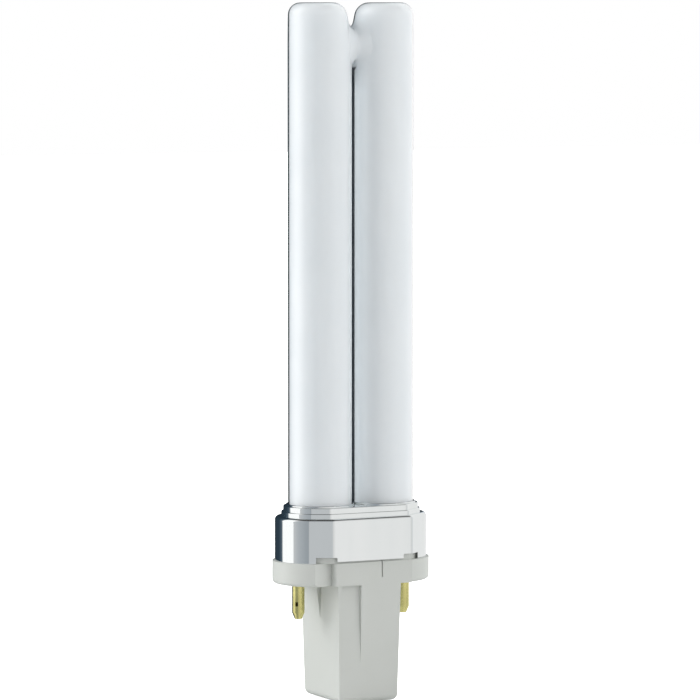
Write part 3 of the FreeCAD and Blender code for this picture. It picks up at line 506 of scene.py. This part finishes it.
# Studio: two rings of soft screens round the lamp, set out by compass angle. One is what
# shiny surfaces mirror, and the other lights dull ones. Both have a dim ceiling, and the
# camera sees plain white.
MIRRORED_CEILING = 0.084
MIRRORED = (
    (-180, 0.60, 0.02), (-164, 0.47, 0.06), (-140, 0.36, 0.08), (-127, 0.36, 0.06),
    (-119, 0.58, 0.03), (-104, 0.70), (-64, 0.84), (-40, 0.70), (-15, 0.70, 0.02), (10, 0.86),
    (48, 0.86), (57, 0.60, 0.1), (62, 0.03, 0.4), (118, 0.05, 0.4), (134, 0.12, 0.3),
    (140, 1.10), (175, 1.10),
)
SHED_CEILING = 0.546
SHED = (
    (-180, 0.85), (-164, 0.55), (-140, 0.36), (-116, 0.46), (-100, 0.80), (-64, 1.20),
    (-40, 1.45), (-15, 1.75), (10, 1.80), (40, 1.60), (56, 0.70), (64, 0.20), (113, 0.20),
    (124, 0.50), (131, 4.20), (166, 4.20), (173, 1.10),
)
BRIGHTEST = max(stop[1] for stop in MIRRORED + SHED)
CEILING_RANGE = (0.70, 0.92)
world = bpy.data.worlds.new("studio")
bpy.context.scene.world = world
world.use_nodes = True
studio = world.node_tree
direction = studio.nodes.new("ShaderNodeTexCoord")
parts = studio.nodes.new("ShaderNodeSeparateXYZ")
studio.links.new(direction.outputs["Generated"], parts.inputs["Vector"])
compass = joined(studio, "ARCTAN2", parts.outputs["Y"], parts.outputs["X"])
turned = ranged(studio, compass, -math.pi, math.pi)
ceiling = ranged(studio, parts.outputs["Z"], *CEILING_RANGE)
ceiling.node.interpolation_type = "SMOOTHSTEP"


def light(brightness, blueness=0.0):
    """A colour of the studio, as a share of its brightest screen."""
    share = brightness / BRIGHTEST
    return (share * (1 - blueness), share, share * (1 + blueness), 1)


def screens(stops):
    """A ring of screens, with stops of degrees, brightness and, if not grey, blueness."""
    return ramped(studio, turned, [((stop[0] + 180) / 360, light(*stop[1:])) for stop in stops])


mirrored = mixed(studio, ceiling, screens(MIRRORED), light(MIRRORED_CEILING))
shed = mixed(studio, ceiling, screens(SHED), light(SHED_CEILING))
ray = studio.nodes.new("ShaderNodeLightPath")
lit = mixed(studio, ray.outputs["Is Glossy Ray"], shed, mirrored)
shown = mixed(studio, ray.outputs["Is Camera Ray"], lit, light(1.0))
background = studio.nodes["Background"]
studio.links.new(shown, background.inputs["Color"])
background.inputs["Strength"].default_value = BRIGHTEST

# Camera: the photograph's angle, from the lamp's left and looking down a little. It stands
# well back, with a long lens, so the legs look nearly parallel.
TURN = math.radians(26.3)
TILT = math.radians(4.3)
DISTANCE = 914.3 * MM
FOCAL_PIXELS = 4650
PICTURE_PIXELS = 700
SENSOR = 36.0
AIM_ACROSS = -0.16 * MM
AIM_LEVEL = 45.53 * MM
NEAREST_SEEN = 10 * MM
aim = Vector((AIM_ACROSS * math.cos(TURN), -AIM_ACROSS * math.sin(TURN), AIM_LEVEL))
towards = Vector((
    -math.sin(TURN) * math.cos(TILT), -math.cos(TURN) * math.cos(TILT), math.sin(TILT)))
camera_data = bpy.data.cameras.new("camera")
camera_data.sensor_width = SENSOR
camera_data.lens = SENSOR * FOCAL_PIXELS / PICTURE_PIXELS
camera_data.clip_start = NEAREST_SEEN
camera = bpy.data.objects.new("camera", camera_data)
bpy.context.scene.collection.objects.link(camera)
camera.location = aim + DISTANCE * towards
camera.rotation_euler = (-towards).to_track_quat("-Z", "Y").to_euler()
bpy.context.scene.camera = camera
bpy.context.scene.view_settings.view_transform = "Standard"
